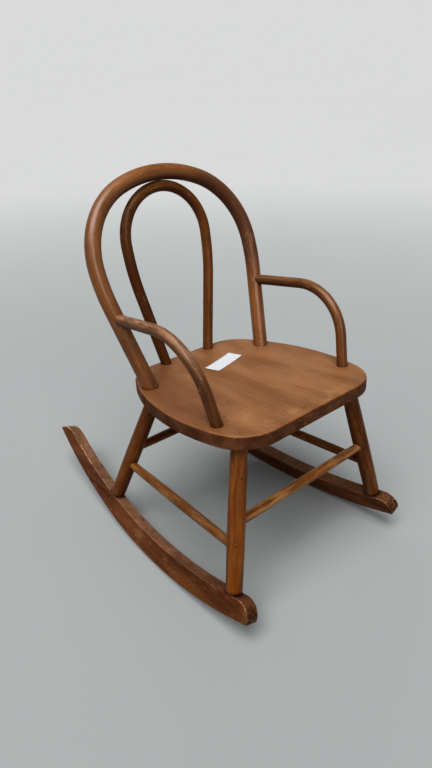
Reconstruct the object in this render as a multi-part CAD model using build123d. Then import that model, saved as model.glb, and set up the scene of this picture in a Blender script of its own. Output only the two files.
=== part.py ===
from build123d import *
import math
import os

# Child's hoop-back rocking chair: a plank seat on four splayed legs and two rockers, with two
# bent hoops for a back and two bent arms. Millimetres, +Z up, the sitter faces -Y and the
# sitter's left is +X. The pieces are laid out from a datum line across the seat, then moved so
# that the origin is on the floor in the middle of the footprint.

# Seat: one plank, wider than long, that falls a little towards the back
seat_height = 283.2  # floor to the top face, at the datum line
seat_pitch = 2.8  # degrees
seat_thickness = 21.0
seat_front = 152.0  # datum line to the front edge
seat_rear = 146.5  # datum line to the rear edge
seat_half_width = 158.5  # at its widest
seat_widest = 30.0  # how far in front of the datum line that is
seat_side_radius = 300.0  # the long curve of each side
seat_front_corner = 63.0
seat_rear_corner = 58.0
seat_top_round = 3.0
seat_under_round = 2.5

# Outer hoop: a steam-bent rod
outer_diameter = 24.0
outer_lean = 20.6  # degrees back from upright
outer_foot_y = 77.7
outer_foot_inset = 38.8  # each foot's centre, in from the seat's widest line
outer_height = 309.7  # seat to the crown's centre line, along the leaning plane
outer_bow = 31.8  # how far each side swells out beyond its foot
outer_shoulder_radius = 120.0
outer_crown_turn = 21.5  # degrees that the flatter crown turns each side of the middle
outer_side_radius = 282.0

# Inner hoop: a thinner rod whose round crown is screwed up against the outer hoop's
inner_diameter = 17.0
inner_foot_y = 134.5
inner_foot_spacing = 91.5
inner_width = 157.6
inner_side_radius = 380.0
crown_offset = 1.0  # how far the inner crown lies in front of the outer one
crown_gap = 0.15  # film of finish between the two rods

# Arms: thin rods from the outer hoop forward, then bent down into the seat
arm_diameter = 16.4
arm_foot_inset = 25.5  # from the seat's widest line
arm_foot_y = -88.5
arm_joint_height = 111.5  # up the outer hoop's plane from the seat
arm_spread = 18.5  # the corner, where rail and post would cross, is this far outside the foot
arm_corner_y = -63.5
arm_corner_rise = 118.5  # above the seat's top face
arm_bend_radius = 87.0

# Legs: turned, slightly swelled, straight-ended above and shouldered below
leg_top_diameter = 22.8
leg_swell_diameter = 25.2
leg_bottom_diameter = 23.8
leg_swell_share = 0.45  # of the way up
leg_rim_round = 3.0
front_leg_inset = 42.6  # each top's centre, in from the seat's widest line
front_leg_top_y = -111.6
rear_leg_inset = 61.9
rear_leg_top_y = 94.6
front_leg_foot_y = -149.0
rear_leg_foot_y = 164.0

# Stretchers: thin rods with a slight swell, let into blind holes in the legs
stretcher_diameter = 15.2
stretcher_end_diameter = 13.6
stretcher_end_shows = 3.0  # how much of the straight end is seen outside the leg
front_stretcher_drop = 0.532  # share of the leg, from the seat down
rear_stretcher_drop = 0.529
side_stretcher_front_drop = 0.693
side_stretcher_rear_drop = 0.674

# Rockers: boards sawn to a sweep, leaning in at the top and closing a little behind
rocker_outset = 11.0  # middle of the board on the floor, out from the seat's widest line
rocker_contact_y = 33.8  # under the chair's balance point, so that it stands level at rest
rocker_thickness = 21.0
rocker_depth = 35.0
rocker_tilt = 16.9  # degrees that the top leans inwards
rocker_toe = 3.3  # degrees that the tails close in
rocker_sole_radius = 700.0
rocker_sole_tail_radius = 880.0
rocker_back_radius = 762.0
rocker_back_tail_radius = 930.0
rocker_sweep_change = 110.0  # behind the contact, where both edges flatten
rocker_length = 572.5  # tip to tip
rocker_front_reach = 225.2  # contact to the front tip
rocker_front_nose = 26.0  # length of the rounded nose
rocker_tail_nose = 52.0
rocker_edge_round = 1.5

# Joints
glue_gap = 0.1  # all round, between a rod and its socket
hoop_socket_depth = 13.0
leg_socket_depth = 12.0
rocker_tenon_diameter = 13.0
rocker_tenon_length = 18.0
leg_shoulder_gap = 0.9  # the square shoulder stands this far off the sloping rocker
stretcher_stop = 1.5  # a stretcher stops this far short of the leg's centre line
cope_gap = 0.1

# Wood screws, countersunk and slotted
screw_gap = 0.05
screw_slot_width = 1.0
screw_slot_depth = 1.1
screw_head_lip = 0.5
screw_tip = 5.0
small_screw_shank = 3.5
small_screw_head = 7.0
arm_screw_length = 38.0
crown_screw_length = 26.0
foot_screw_length = 25.0
rocker_screw_shank = 4.5
rocker_screw_head = 8.6
rocker_screw_length = 40.0
screw_sink = 0.8  # depth of a head's face under the wood around it
rocker_screw_sink = 2.5

outer_radius = outer_diameter / 2
inner_radius = inner_diameter / 2
outer_foot_spacing = 2 * (seat_half_width - outer_foot_inset)
outer_width = outer_foot_spacing + 2 * outer_bow
arm_foot_x = seat_half_width - arm_foot_inset
arm_corner_x = arm_foot_x + arm_spread
front_leg_top_x = seat_half_width - front_leg_inset
rear_leg_top_x = seat_half_width - rear_leg_inset
rocker_contact_x = seat_half_width + rocker_outset
rocker_tail_reach = rocker_length - rocker_front_reach
left, right = 1, -1

seat_plane = Plane(
    origin=(0, 0, seat_height),
    x_dir=(1, 0, 0),
    z_dir=(0, math.sin(math.radians(seat_pitch)), math.cos(math.radians(seat_pitch))),
)


def wire_of(lines):
    """The lines' edges joined end to end."""
    return Wire([edge for line in lines for edge in line.edges()])


def on_seat(x, y, z=0.0):
    """A point given along the seat's own plane, z above its top face."""
    return seat_plane.from_local_coords(Vector(x, y, z))


def along(start, direction):
    """A frame at start whose Z runs in the given direction."""
    return Plane(origin=start, z_dir=direction)


def socket(mouth, direction, diameter, depth):
    """A blind hole with glue room, that also clears some way out of its mouth."""
    bottom = mouth + direction.normalized() * (depth + glue_gap)
    hole = Cylinder(
        diameter / 2 + glue_gap,
        depth + glue_gap + diameter,
        align=(Align.CENTER, Align.CENTER, Align.MIN),
    )
    return along(bottom, -direction) * hole


# Wood screws


def screw_profile(shank, head, length, gap, mouth):
    """Half section of a countersunk screw, its head's face at zero and its tip up the Z axis."""
    r_shank, r_head = shank / 2 + gap, head / 2 + gap
    cone = screw_head_lip + r_head - r_shank
    tip = length + gap
    return make_face(
        Polyline(
            (0, -mouth),
            (r_head, -mouth),
            (r_head, screw_head_lip),
            (r_shank, cone),
            (r_shank, tip - screw_tip),
            (0, tip),
            close=True,
        )
    )


def wood_screw(shank, head, length):
    """A countersunk screw with a slot across its head, driven up the Z axis."""
    body = revolve(Plane.XZ * screw_profile(shank, head, length, 0, 0), Axis.Z)
    slot = Box(
        head * 2,
        screw_slot_width,
        screw_slot_depth,
        align=(Align.CENTER, Align.CENTER, Align.MIN),
    )
    return body - slot


def screw_hole(shank, head, length):
    """The hole that a screw fills, open outwards above the head."""
    return revolve(Plane.XZ * screw_profile(shank, head, length, screw_gap, head), Axis.Z)


# Bent rods


def rod(path, diameter):
    """A round rod along a wire."""
    section = Plane(origin=path @ 0, z_dir=path % 0) * Circle(diameter / 2)
    return sweep(section, path=path)


def hoop_half(height, width, foot_spacing, shoulder_radius, crown_turn, side_radius):
    """One side of a hoop's centre line, flat: crown, shoulder and side arcs, then a straight leg.

    The shoulder ends at the widest point, and the straight leg is the tangent from the foot to
    the side arc. Returns the arcs, the foot and the leg's direction towards the crown.
    """
    half_width, foot = width / 2, Vector(foot_spacing / 2, 0)
    turn = math.radians(crown_turn)
    crown_radius = shoulder_radius + (half_width - shoulder_radius) / math.sin(turn)
    crown = JernArc((0, height), (1, 0), crown_radius, -crown_turn)
    shoulder = JernArc(crown @ 1, crown % 1, shoulder_radius, crown_turn - 90)
    to_centre = (shoulder @ 1) - Vector(side_radius, 0) - foot
    spread = math.asin(side_radius / to_centre.length)
    rise = math.atan2(to_centre.Y, to_centre.X) - spread
    flare = 90 - math.degrees(rise)
    side = JernArc(shoulder @ 1, (0, -1), side_radius, -flare)
    return [crown, shoulder, side], foot, Vector(math.cos(rise), math.sin(rise))


def hoop_path(plane, half, foot, direction, depth):
    """The whole centre line in its plane, with both ends run on into the seat."""
    leg = Line(half[-1] @ 1, foot - direction * depth)
    side = [*half, leg]
    return plane.location * wire_of([*side, *[mirror(line, Plane.YZ) for line in side]])


outer_plane = Plane(
    origin=on_seat(0, outer_foot_y),
    x_dir=(1, 0, 0),
    z_dir=(0, -math.cos(math.radians(outer_lean)), math.sin(math.radians(outer_lean))),
)
outer_half, outer_foot, outer_leg = hoop_half(
    outer_height,
    outer_width,
    outer_foot_spacing,
    outer_shoulder_radius,
    outer_crown_turn,
    outer_side_radius,
)
outer_crown = outer_plane.from_local_coords(Vector(0, outer_height))

# The inner crown hangs a touch in front of the outer one, and the inner hoop leans to meet it.
crown_reach = outer_radius + inner_radius + crown_gap
crown_drop = math.sqrt(crown_reach**2 - crown_offset**2)
inner_crown = outer_crown - Vector(0, crown_offset, crown_drop)
inner_origin = on_seat(0, inner_foot_y)
inner_rise = inner_crown - inner_origin
inner_plane = Plane(
    origin=inner_origin,
    x_dir=(1, 0, 0),
    z_dir=Vector(1, 0, 0).cross(inner_rise),
)
inner_half, inner_foot, inner_leg = hoop_half(
    inner_rise.length,
    inner_width,
    inner_foot_spacing,
    inner_width / 2,
    outer_crown_turn,
    inner_side_radius,
)


def hoop_foot(plane, foot, direction, side):
    """A hoop's foot on the seat, and the way its leg runs down from there."""
    below = foot - direction
    point = plane.from_local_coords(Vector(foot.X * side, foot.Y))
    ahead = plane.from_local_coords(Vector(below.X * side, below.Y))
    return point, (ahead - point).normalized()


def feet_of(plane, foot, direction):
    return [hoop_foot(plane, foot, direction, side) for side in (left, right)]


outer_feet = feet_of(outer_plane, outer_foot, outer_leg)
inner_feet = feet_of(inner_plane, inner_foot, inner_leg)

# Arms: corner points of each centre line, from the seat to the outer hoop


def arm_points(side):
    foot = on_seat(side * arm_foot_x, arm_foot_y)
    corner = on_seat(side * arm_corner_x, arm_corner_y, arm_corner_rise)
    run = arm_joint_height / outer_leg.Y
    joint = outer_plane.from_local_coords(
        Vector(side * (outer_foot.X + outer_leg.X * run), arm_joint_height)
    )
    return foot, corner, joint


def arm_foot(side):
    """An arm's foot on the seat, and the way its post runs down from there."""
    foot, corner, _ = arm_points(side)
    return foot, (foot - corner).normalized()


def arm_screw_frame(side):
    """The arm screw starts behind the outer hoop and runs forward along the rail."""
    _, corner, joint = arm_points(side)
    forward = (corner - joint).normalized()
    return along(joint - forward * (outer_radius - screw_sink), forward)


# Rockers


def sweep_height(u, base, radius, tail_radius):
    """Height of a sawn edge, u behind the contact: one radius, then a flatter one."""
    if u <= rocker_sweep_change:
        return base + radius - math.sqrt(radius**2 - u**2)
    sine = rocker_sweep_change / radius
    cosine = math.sqrt(1 - sine**2)
    centre_u = rocker_sweep_change - tail_radius * sine
    centre_v = base + radius + (tail_radius - radius) * cosine
    return centre_v - math.sqrt(tail_radius**2 - (u - centre_u) ** 2)


def sole_height(u):
    return sweep_height(u, 0, rocker_sole_radius, rocker_sole_tail_radius)


def back_height(u):
    return sweep_height(u, rocker_depth, rocker_back_radius, rocker_back_tail_radius)


def sawn_edge(height, start, end):
    """An arc of an edge, through its own middle."""
    middle = (start + end) / 2
    return ThreePointArc(*[(u, height(u)) for u in (start, middle, end)])


def rocker_board():
    """A rocker upright on its sole: length along Y, the contact at the origin."""
    front, tail = -rocker_front_reach, rocker_tail_reach
    front_shoulder, tail_shoulder = front + rocker_front_nose, tail - rocker_tail_nose
    sole = [
        sawn_edge(sole_height, front, rocker_sweep_change),
        sawn_edge(sole_height, rocker_sweep_change, tail),
    ]
    back = [
        sawn_edge(back_height, tail_shoulder, rocker_sweep_change),
        sawn_edge(back_height, rocker_sweep_change, front_shoulder),
    ]
    tail_nose = TangentArc(back[0] @ 0, sole[1] @ 1, tangent=(back[0] % 0) * -1)
    front_nose = TangentArc(back[1] @ 1, sole[0] @ 0, tangent=back[1] % 1)
    outline = make_face(wire_of([*sole, tail_nose, *back, front_nose]))
    board = extrude(Plane.YZ * outline, rocker_thickness / 2, both=True)
    faces = board.faces().sort_by(Axis.X)
    return fillet(faces[0].edges() + faces[-1].edges(), rocker_edge_round)


def rocker_frame():
    """Where the left rocker stands: tilted about its sole's inner edge, and toed in."""
    lift = rocker_thickness / 2 * math.sin(math.radians(rocker_tilt))
    return (
        Pos(rocker_contact_x, rocker_contact_y, lift)
        * Rot(0, 0, rocker_toe)
        * Rot(0, -rocker_tilt, 0)
    )


def on_rocker(u, v):
    """A point in the middle of the left board's thickness, u behind the contact and v up."""
    return (rocker_frame() * Pos(0, u, v)).position


# Legs: where each centre line meets the seat's underside and the rocker's back


def leg_ends(top_x, top_y, foot_y):
    top = on_seat(top_x, top_y, -seat_thickness)
    u = (foot_y - rocker_contact_y) / math.cos(math.radians(rocker_toe))
    return top, on_rocker(u, back_height(u)), u


front_top, front_foot, front_u = leg_ends(front_leg_top_x, front_leg_top_y, front_leg_foot_y)
rear_top, rear_foot, rear_u = leg_ends(rear_leg_top_x, rear_leg_top_y, rear_leg_foot_y)


def rocker_screw_frame(top, foot, u):
    """The rocker screw starts under the rocker and runs up the leg's centre line."""
    up = (top - foot).normalized()
    board_up = on_rocker(0, 1) - on_rocker(0, 0)
    through = (back_height(u) - sole_height(u)) / up.dot(board_up)
    return along(foot - up * (through - rocker_screw_sink), up)


front_rocker_screw = rocker_screw_frame(front_top, front_foot, front_u)
rear_rocker_screw = rocker_screw_frame(rear_top, rear_foot, rear_u)


def rocker_hole():
    return screw_hole(rocker_screw_shank, rocker_screw_head, rocker_screw_length)


def small_hole(length):
    return screw_hole(small_screw_shank, small_screw_head, length)


def foot_screw_frame(foot, down):
    """A foot screw starts under the seat and runs up the rod's centre line."""
    slope = -down.dot(seat_plane.z_dir)
    return along(foot + down * (seat_thickness / slope - screw_sink), -down)


def blank_leg(top, foot):
    """A leg: tenon below, swelled body, and a straight end from just under the seat upwards."""
    length = (top - foot).length
    r_top, r_swell, r_foot = (
        leg_top_diameter / 2,
        leg_swell_diameter / 2,
        leg_bottom_diameter / 2,
    )
    r_tenon = rocker_tenon_diameter / 2
    rim = leg_shoulder_gap + leg_rim_round
    corner = leg_rim_round * (1 - math.sqrt(0.5))
    slope = (top - foot).normalized().dot(seat_plane.z_dir)
    straight = length - leg_rim_round - r_top * math.sqrt(1 / slope**2 - 1)
    end = length + leg_socket_depth
    outline = [
        Polyline(
            (0, end),
            (0, -rocker_tenon_length),
            (r_tenon, -rocker_tenon_length),
            (r_tenon, leg_shoulder_gap),
            (r_foot - leg_rim_round, leg_shoulder_gap),
        ),
        ThreePointArc(
            (r_foot - leg_rim_round, leg_shoulder_gap),
            (r_foot - corner, leg_shoulder_gap + corner),
            (r_foot, rim),
        ),
        ThreePointArc((r_foot, rim), (r_swell, length * leg_swell_share), (r_top, straight)),
        Polyline((r_top, straight), (r_top, end), (0, end)),
    ]
    face = make_face(wire_of(outline))
    return along(foot, top - foot) * revolve(Plane.XZ * face, Axis.Z)


# Stretchers, each given by the points on two legs' centre lines that it runs between


def on_leg(top, foot, drop, side=left):
    point = top + (foot - top) * drop
    return Vector(point.X * side, point.Y, point.Z)


front_rail = [on_leg(front_top, front_foot, front_stretcher_drop, s) for s in (left, right)]
rear_rail = [on_leg(rear_top, rear_foot, rear_stretcher_drop, s) for s in (left, right)]
side_rail = [
    on_leg(front_top, front_foot, side_stretcher_front_drop),
    on_leg(rear_top, rear_foot, side_stretcher_rear_drop),
]


def stretcher(start, end):
    """A rod from leg to leg: straight where it is let in, swelled between."""
    length = (end - start).length - 2 * stretcher_stop
    let_in = leg_swell_diameter / 2 + stretcher_end_shows
    r_end, r_middle = stretcher_end_diameter / 2, stretcher_diameter / 2
    outline = [
        Polyline((0, length), (0, 0), (r_end, 0), (r_end, let_in)),
        ThreePointArc((r_end, let_in), (r_middle, length / 2), (r_end, length - let_in)),
        Polyline((r_end, length - let_in), (r_end, length), (0, length)),
    ]
    face = make_face(wire_of(outline))
    way = (end - start).normalized()
    return along(start + way * stretcher_stop, way) * revolve(Plane.XZ * face, Axis.Z)


def stretcher_socket(inside, outside):
    """The blind hole that a stretcher fills in the leg whose centre line it leaves from inside."""
    way = (outside - inside).normalized()
    return socket(
        inside + way * (leg_swell_diameter / 2),
        -way,
        stretcher_end_diameter,
        leg_swell_diameter / 2 - stretcher_stop,
    )


# Whole pieces


def build_outer_hoop(diameter=outer_diameter):
    path = hoop_path(outer_plane, outer_half, outer_foot, outer_leg, hoop_socket_depth)
    return rod(path, diameter)


def build_inner_hoop():
    path = hoop_path(inner_plane, inner_half, inner_foot, inner_leg, hoop_socket_depth)
    return rod(path, inner_diameter)


def crown_screw_frame():
    """The crown screw starts under the inner crown and runs up into the outer one."""
    up = (outer_crown - inner_crown).normalized()
    return along(inner_crown - up * (inner_radius - screw_sink), up)


def finish_outer_hoop():
    hoop = build_outer_hoop()
    for foot, down in outer_feet:
        hoop -= foot_screw_frame(foot, down) * small_hole(foot_screw_length)
    for side in (left, right):
        hoop -= arm_screw_frame(side) * small_hole(arm_screw_length)
    return hoop - crown_screw_frame() * small_hole(crown_screw_length)


def finish_inner_hoop():
    hoop = build_inner_hoop()
    for foot, down in inner_feet:
        hoop -= foot_screw_frame(foot, down) * small_hole(foot_screw_length)
    return hoop - crown_screw_frame() * small_hole(crown_screw_length)


def finish_arm(side):
    foot, corner, joint = arm_points(side)
    _, down = arm_foot(side)
    path = FilletPolyline(foot + down * hoop_socket_depth, corner, joint, radius=arm_bend_radius)
    arm = rod(wire_of([path]), arm_diameter)
    arm -= build_outer_hoop(outer_diameter + 2 * cope_gap)
    arm -= foot_screw_frame(foot, down) * small_hole(foot_screw_length)
    return arm - arm_screw_frame(side) * small_hole(arm_screw_length)


def finish_seat():
    across, side_centre = 2 * seat_half_width, seat_half_width - seat_side_radius
    outline = Pos(0, (seat_rear - seat_front) / 2) * Rectangle(across, seat_front + seat_rear)
    for side in (left, right):
        outline &= Pos(side * side_centre, -seat_widest) * Circle(seat_side_radius)
    outline = fillet(outline.vertices().group_by(Axis.Y)[0], seat_front_corner)
    outline = fillet(outline.vertices().group_by(Axis.Y)[-1], seat_rear_corner)
    plank = extrude(outline, -seat_thickness)
    plank = fillet(plank.faces().sort_by(Axis.Z)[-1].edges(), seat_top_round)
    plank = fillet(plank.faces().sort_by(Axis.Z)[0].edges(), seat_under_round)
    seat = seat_plane.location * plank
    for top, foot in ((front_top, front_foot), (rear_top, rear_foot)):
        hole = socket(top, top - foot, leg_top_diameter, leg_socket_depth)
        seat -= [hole, mirror(hole, Plane.YZ)]
    rods = [(foot, outer_diameter) for foot in outer_feet]
    rods += [(foot, inner_diameter) for foot in inner_feet]
    rods += [(arm_foot(side), arm_diameter) for side in (left, right)]
    for (foot, down), diameter in rods:
        seat -= socket(foot, down, diameter, hoop_socket_depth)
        seat -= foot_screw_frame(foot, down) * small_hole(foot_screw_length)
    return seat


def finish_leg(top, foot, screw_frame, rails):
    """A left leg, its shoulder scribed to the rocker and bored for its stretchers and screw."""
    leg = blank_leg(top, foot)
    tenon = socket(foot, foot - top, rocker_tenon_diameter - 2 * glue_gap, rocker_tenon_length)
    leg -= rocker_frame() * rocker_board() - tenon
    for inside, outside in rails:
        leg -= stretcher_socket(inside, outside)
    return leg - screw_frame * rocker_hole()


def finish_rocker():
    rocker = rocker_frame() * rocker_board()
    for top, foot, screw_frame in (
        (front_top, front_foot, front_rocker_screw),
        (rear_top, rear_foot, rear_rocker_screw),
    ):
        rocker -= socket(foot, foot - top, rocker_tenon_diameter, rocker_tenon_length)
        rocker -= screw_frame * rocker_hole()
    return rocker


def small_screw(length):
    return wood_screw(small_screw_shank, small_screw_head, length)


def foot_screws(feet):
    return [foot_screw_frame(foot, down) * small_screw(foot_screw_length) for foot, down in feet]


def build_chair():
    """Every node's solids, by the node's name."""
    front_leg = finish_leg(
        front_top, front_foot, front_rocker_screw, [front_rail, side_rail]
    )
    rear_leg = finish_leg(
        rear_top, rear_foot, rear_rocker_screw, [rear_rail, side_rail[::-1]]
    )
    side_stretcher = stretcher(*side_rail)
    rocker = finish_rocker()
    rocker_screw = wood_screw(rocker_screw_shank, rocker_screw_head, rocker_screw_length)
    rocker_screws = [frame * rocker_screw for frame in (front_rocker_screw, rear_rocker_screw)]
    nodes = {
        "seat": [finish_seat()],
        "outer_hoop": [finish_outer_hoop()],
        "inner_hoop": [finish_inner_hoop()],
        "front_stretcher": [stretcher(*front_rail)],
        "rear_stretcher": [stretcher(*rear_rail)],
        "hoop_crown_screw": [crown_screw_frame() * small_screw(crown_screw_length)],
        "outer_hoop_foot_screws": foot_screws(outer_feet),
        "inner_hoop_foot_screws": foot_screws(inner_feet),
        "arm_foot_screws": foot_screws([arm_foot(left), arm_foot(right)]),
    }
    pairs = {
        "front_leg": [front_leg],
        "rear_leg": [rear_leg],
        "side_stretcher": [side_stretcher],
        "rocker": [rocker],
        "rocker_screws": rocker_screws,
        "arm": [finish_arm(left)],
        "arm_screw": [arm_screw_frame(left) * small_screw(arm_screw_length)],
    }
    for name, solids in pairs.items():
        nodes[f"left_{name}"] = solids
        nodes[f"right_{name}"] = [mirror(solid, Plane.YZ) for solid in solids]
    return nodes


def main():
    nodes = build_chair()
    middle = Compound(nodes["left_rocker"]).bounding_box().center().Y
    os.makedirs("parts", exist_ok=True)
    for name, solids in nodes.items():
        moved = [Pos(0, -middle, 0) * solid for solid in solids]
        whole = moved[0] if len(moved) == 1 else Compound(children=moved)
        whole.label = name
        export_step(whole, os.path.join("parts", f"{name}.step"))
    print(f"datum line at y = {-middle:.3f} mm")


main()
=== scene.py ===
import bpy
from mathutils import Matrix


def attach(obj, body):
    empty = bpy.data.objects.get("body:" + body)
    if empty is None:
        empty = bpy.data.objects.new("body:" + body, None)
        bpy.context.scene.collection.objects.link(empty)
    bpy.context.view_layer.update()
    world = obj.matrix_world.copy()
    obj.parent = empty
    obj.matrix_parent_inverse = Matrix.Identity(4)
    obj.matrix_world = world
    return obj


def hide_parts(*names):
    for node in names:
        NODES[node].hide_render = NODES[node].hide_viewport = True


bl_info = {
    "name": "Hoop Back Rocking Chair",
    "version": (1, 0, 0),
    "blender": (4, 5, 0),
    "location": "View3D > Sidebar > Rocking Chair",
    "description": "Bends the hoops and arms of a child's rocking chair and finishes its wood",
    "category": "Object",
}

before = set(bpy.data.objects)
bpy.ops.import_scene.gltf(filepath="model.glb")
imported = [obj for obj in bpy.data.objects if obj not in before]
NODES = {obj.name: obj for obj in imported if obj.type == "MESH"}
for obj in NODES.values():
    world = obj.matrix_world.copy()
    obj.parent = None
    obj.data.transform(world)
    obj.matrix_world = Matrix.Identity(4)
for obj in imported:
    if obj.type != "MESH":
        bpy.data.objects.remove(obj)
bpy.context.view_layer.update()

import math

import bmesh
import bpy
from bpy.props import BoolProperty, FloatProperty, FloatVectorProperty, PointerProperty
from mathutils import Matrix, Vector

# The chair's own layout, in metres: +Z up, the sitter faces -Y and the sitter's left is +X
DATUM = Vector((0, -0.093515, 0.2832))  # on the seat's top face, at its datum line
SEAT_PITCH = math.radians(2.8)
SEAT_BACK = Vector((0, math.cos(SEAT_PITCH), -math.sin(SEAT_PITCH)))
SEAT_UP = Vector((0, math.sin(SEAT_PITCH), math.cos(SEAT_PITCH)))
ACROSS = Vector((1, 0, 0))
UPRIGHT = Vector((0, 0, 1))
SIDES = {"left": 1, "right": -1}

# Both ends of the turned pieces' centre lines. Legs and side stretchers are those of the left
# side, and the right ones mirror them.
LEGS = {
    "front": (Vector((0.1634, -0.24347, 0.0579)), Vector((0.1159, -0.20601, 0.26768))),
    "rear": (Vector((0.14859, 0.06971, 0.04725)), Vector((0.0966, -0.00005, 0.2576))),
}
CROSS_RAILS = {
    "front": (Vector((-0.14117, -0.22594, 0.15608)), Vector((0.14117, -0.22594, 0.15608))),
    "rear": (Vector((-0.1241, 0.03685, 0.14633)), Vector((0.1241, 0.03685, 0.14633))),
}
SIDE_RAIL = (Vector((0.14882, -0.23197, 0.1223)), Vector((0.13164, 0.04697, 0.11582)))
LEG_FOOT_RADIUS = 0.0105

# The left rocker's board
ROCKER_MIDDLE = Vector((0.1695, -0.059715, 0.003052))
ROCKER_ALONG = Vector((-0.05756, 0.99834, 0.0))
ROCKER_UP = Vector((-0.29022, -0.01673, 0.95682))

TAG_LENGTH, TAG_WIDTH, TAG_THICKNESS = 0.074, 0.027, 0.00012
TAG_ACROSS, TAG_BACK = 0.0203, 0.0647  # its middle, on the seat
TAG_TURN = 0.279

CAMERA_STAND = (-0.5648, -0.6731, 0.6746)
CAMERA_FORWARD = Vector((0.59069, 0.67174, -0.44705))
CAMERA_RIGHT = Vector((0.74336, -0.66852, -0.02231))
SENSOR_WIDTH, FOCAL_LENGTH = 36.0, 27.19  # millimetres

FLOOR_HALF_SIDE = 80.0
# The way each light shines, its strength, its width as an angle, and whether gloss mirrors it
LIGHTS = {
    "overhead light": ((0.4, 0.22, -1), 2.5, 0.8, True),
    "side light": ((0.9, 0.25, -0.55), 0.4, 0.8, False),
    "front light": ((0.35, 0.87, -0.42), 0.6, 0.4, True),
    "back light": ((-0.5, -0.8, -0.2), 0.7, 1.2, False),
}


# Sizes and colours that a user may change


def length(name, description, default):
    return FloatProperty(
        name=name, description=description, default=default, min=0.0, unit="LENGTH"
    )


def angle(name, description, default):
    return FloatProperty(
        name=name, description=description, default=math.radians(default), unit="ROTATION"
    )


def colour(name, description, default):
    return FloatVectorProperty(
        name=name, description=description, default=default, min=0.0, max=1.0, subtype="COLOR"
    )


class HoopSizes(bpy.types.PropertyGroup):
    outer_diameter: length("Outer rod", "Thickness of the outer hoop's rod", 0.024)
    outer_lean: angle("Outer lean", "How far the outer hoop leans back from upright", 20.6)
    outer_foot_back: length("Outer feet", "From the seat's datum line back to its feet", 0.0777)
    outer_foot_half: length("Outer foot", "From the middle to each outer foot", 0.1197)
    outer_height: length("Outer height", "From the seat to the crown's centre line", 0.3097)
    outer_half_width: length("Outer half width", "From the middle to the widest point", 0.1515)
    outer_shoulder: length("Outer shoulder", "Radius of the outer hoop's shoulders", 0.120)
    crown_turn: angle("Crown turn", "How far the flatter crown turns each side of the middle", 21.5)
    outer_side: length("Outer side", "Radius of the outer hoop's long side curves", 0.282)
    inner_diameter: length("Inner rod", "Thickness of the inner hoop's rod", 0.017)
    inner_foot_back: length("Inner feet", "From the seat's datum line back to its feet", 0.1345)
    inner_foot_half: length("Inner foot", "From the middle to each inner foot", 0.04575)
    inner_half_width: length("Inner half width", "From the middle to the widest point", 0.0788)
    inner_side: length("Inner side", "Radius of the inner hoop's long side curves", 0.380)
    crown_offset: length("Crown offset", "How far the inner crown is in front of the outer", 0.001)
    crown_reach: length("Crown reach", "Between the two crowns' centre lines", 0.02065)
    let_in: length("Let in", "How deep each rod goes into the seat", 0.013)


class ArmSizes(bpy.types.PropertyGroup):
    diameter: length("Arm rod", "Thickness of the arms' rod", 0.0164)
    foot_out: length("Foot", "From the middle out to each arm's foot", 0.133)
    foot_forward: length("Foot forward", "From the seat's datum line forward to the foot", 0.0885)
    corner_out: length("Corner", "From the middle out to where rail and post would cross", 0.1515)
    corner_forward: length("Corner forward", "From the datum line forward to that corner", 0.0635)
    corner_rise: length("Corner rise", "From the seat up to that corner", 0.1185)
    joint_height: length("Joint height", "Up the outer hoop to where the arm meets it", 0.1115)
    bend: length("Bend", "Radius of the arm's bend", 0.087)
    cope_gap: length("Cope gap", "Glue line between the arm's end and the hoop", 0.0001)


class WoodColours(bpy.types.PropertyGroup):
    seat_light: colour("Seat, light", "The seat's stain on its paler grain", (0.3, 0.15, 0.067))
    seat_dark: colour("Seat, dark", "The seat's stain on its darker grain", (0.2, 0.092, 0.038))
    seat_red: colour("Seat, red", "The redder stain at a rear corner", (0.205, 0.088, 0.042))
    seat_rubbed: colour("Seat, rubbed", "Where the seat's stain is rubbed thin", (0.44, 0.25, 0.12))
    seat_edge: colour("Seat edge", "The darker stain round its edge", (0.062, 0.0185, 0.0045))
    seat_worn_edge: colour("Seat edge, worn", "Paler flecks round its edge", (0.17, 0.075, 0.022))
    bent_light: colour("Bent, light", "The hoops' stain on paler grain", (0.26, 0.103, 0.0235))
    bent_dark: colour("Bent, dark", "The hoops' stain on darker grain", (0.105, 0.033, 0.0058))
    # Worn wood; also a painted highlight along one stretch of the outer hoop
    bent_rubbed_and_highlight: colour("Bent, rubbed", "Where hands have worn it", (0.43, 0.26, 0.16))
    turned_light: colour("Turned, light", "The legs' stain on paler grain", (0.185, 0.06, 0.0055))
    turned_dark: colour("Turned, dark", "The legs' stain on darker grain", (0.08, 0.023, 0.003))
    turned_rubbed: colour("Turned, rubbed", "Scratches and rubs on the legs", (0.4, 0.23, 0.1))
    turned_dull: colour("Turned, dull", "Where feet dulled the stretchers", (0.16, 0.095, 0.05))
    rocker_light: colour("Rocker, light", "The rockers' stain on paler grain", (0.15, 0.057, 0.017))
    rocker_dark: colour("Rocker, dark", "The rockers' stain on darker grain", (0.07, 0.022, 0.0065))
    rocker_top: colour("Rocker top", "The dusty, trodden top of the rockers", (0.215, 0.125, 0.078))
    rocker_rubbed: colour("Rocker, rubbed", "Bare wood along the worn edges", (0.6, 0.42, 0.27))
    end_grain: colour("End grain", "The dark end grain at the rockers' noses", (0.028, 0.01, 0.004))
    # Painted shade: this colour darkens the faces that point down at the floor
    underside: colour("Undersides", "The deeper stain that faces the floor", (0.05, 0.011, 0.0012))
    # Dark joint lines and dents; also painted shade round the legs' feet on the rockers
    grime: colour("Grime", "The dark line where pieces meet", (0.022, 0.01, 0.006))


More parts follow.
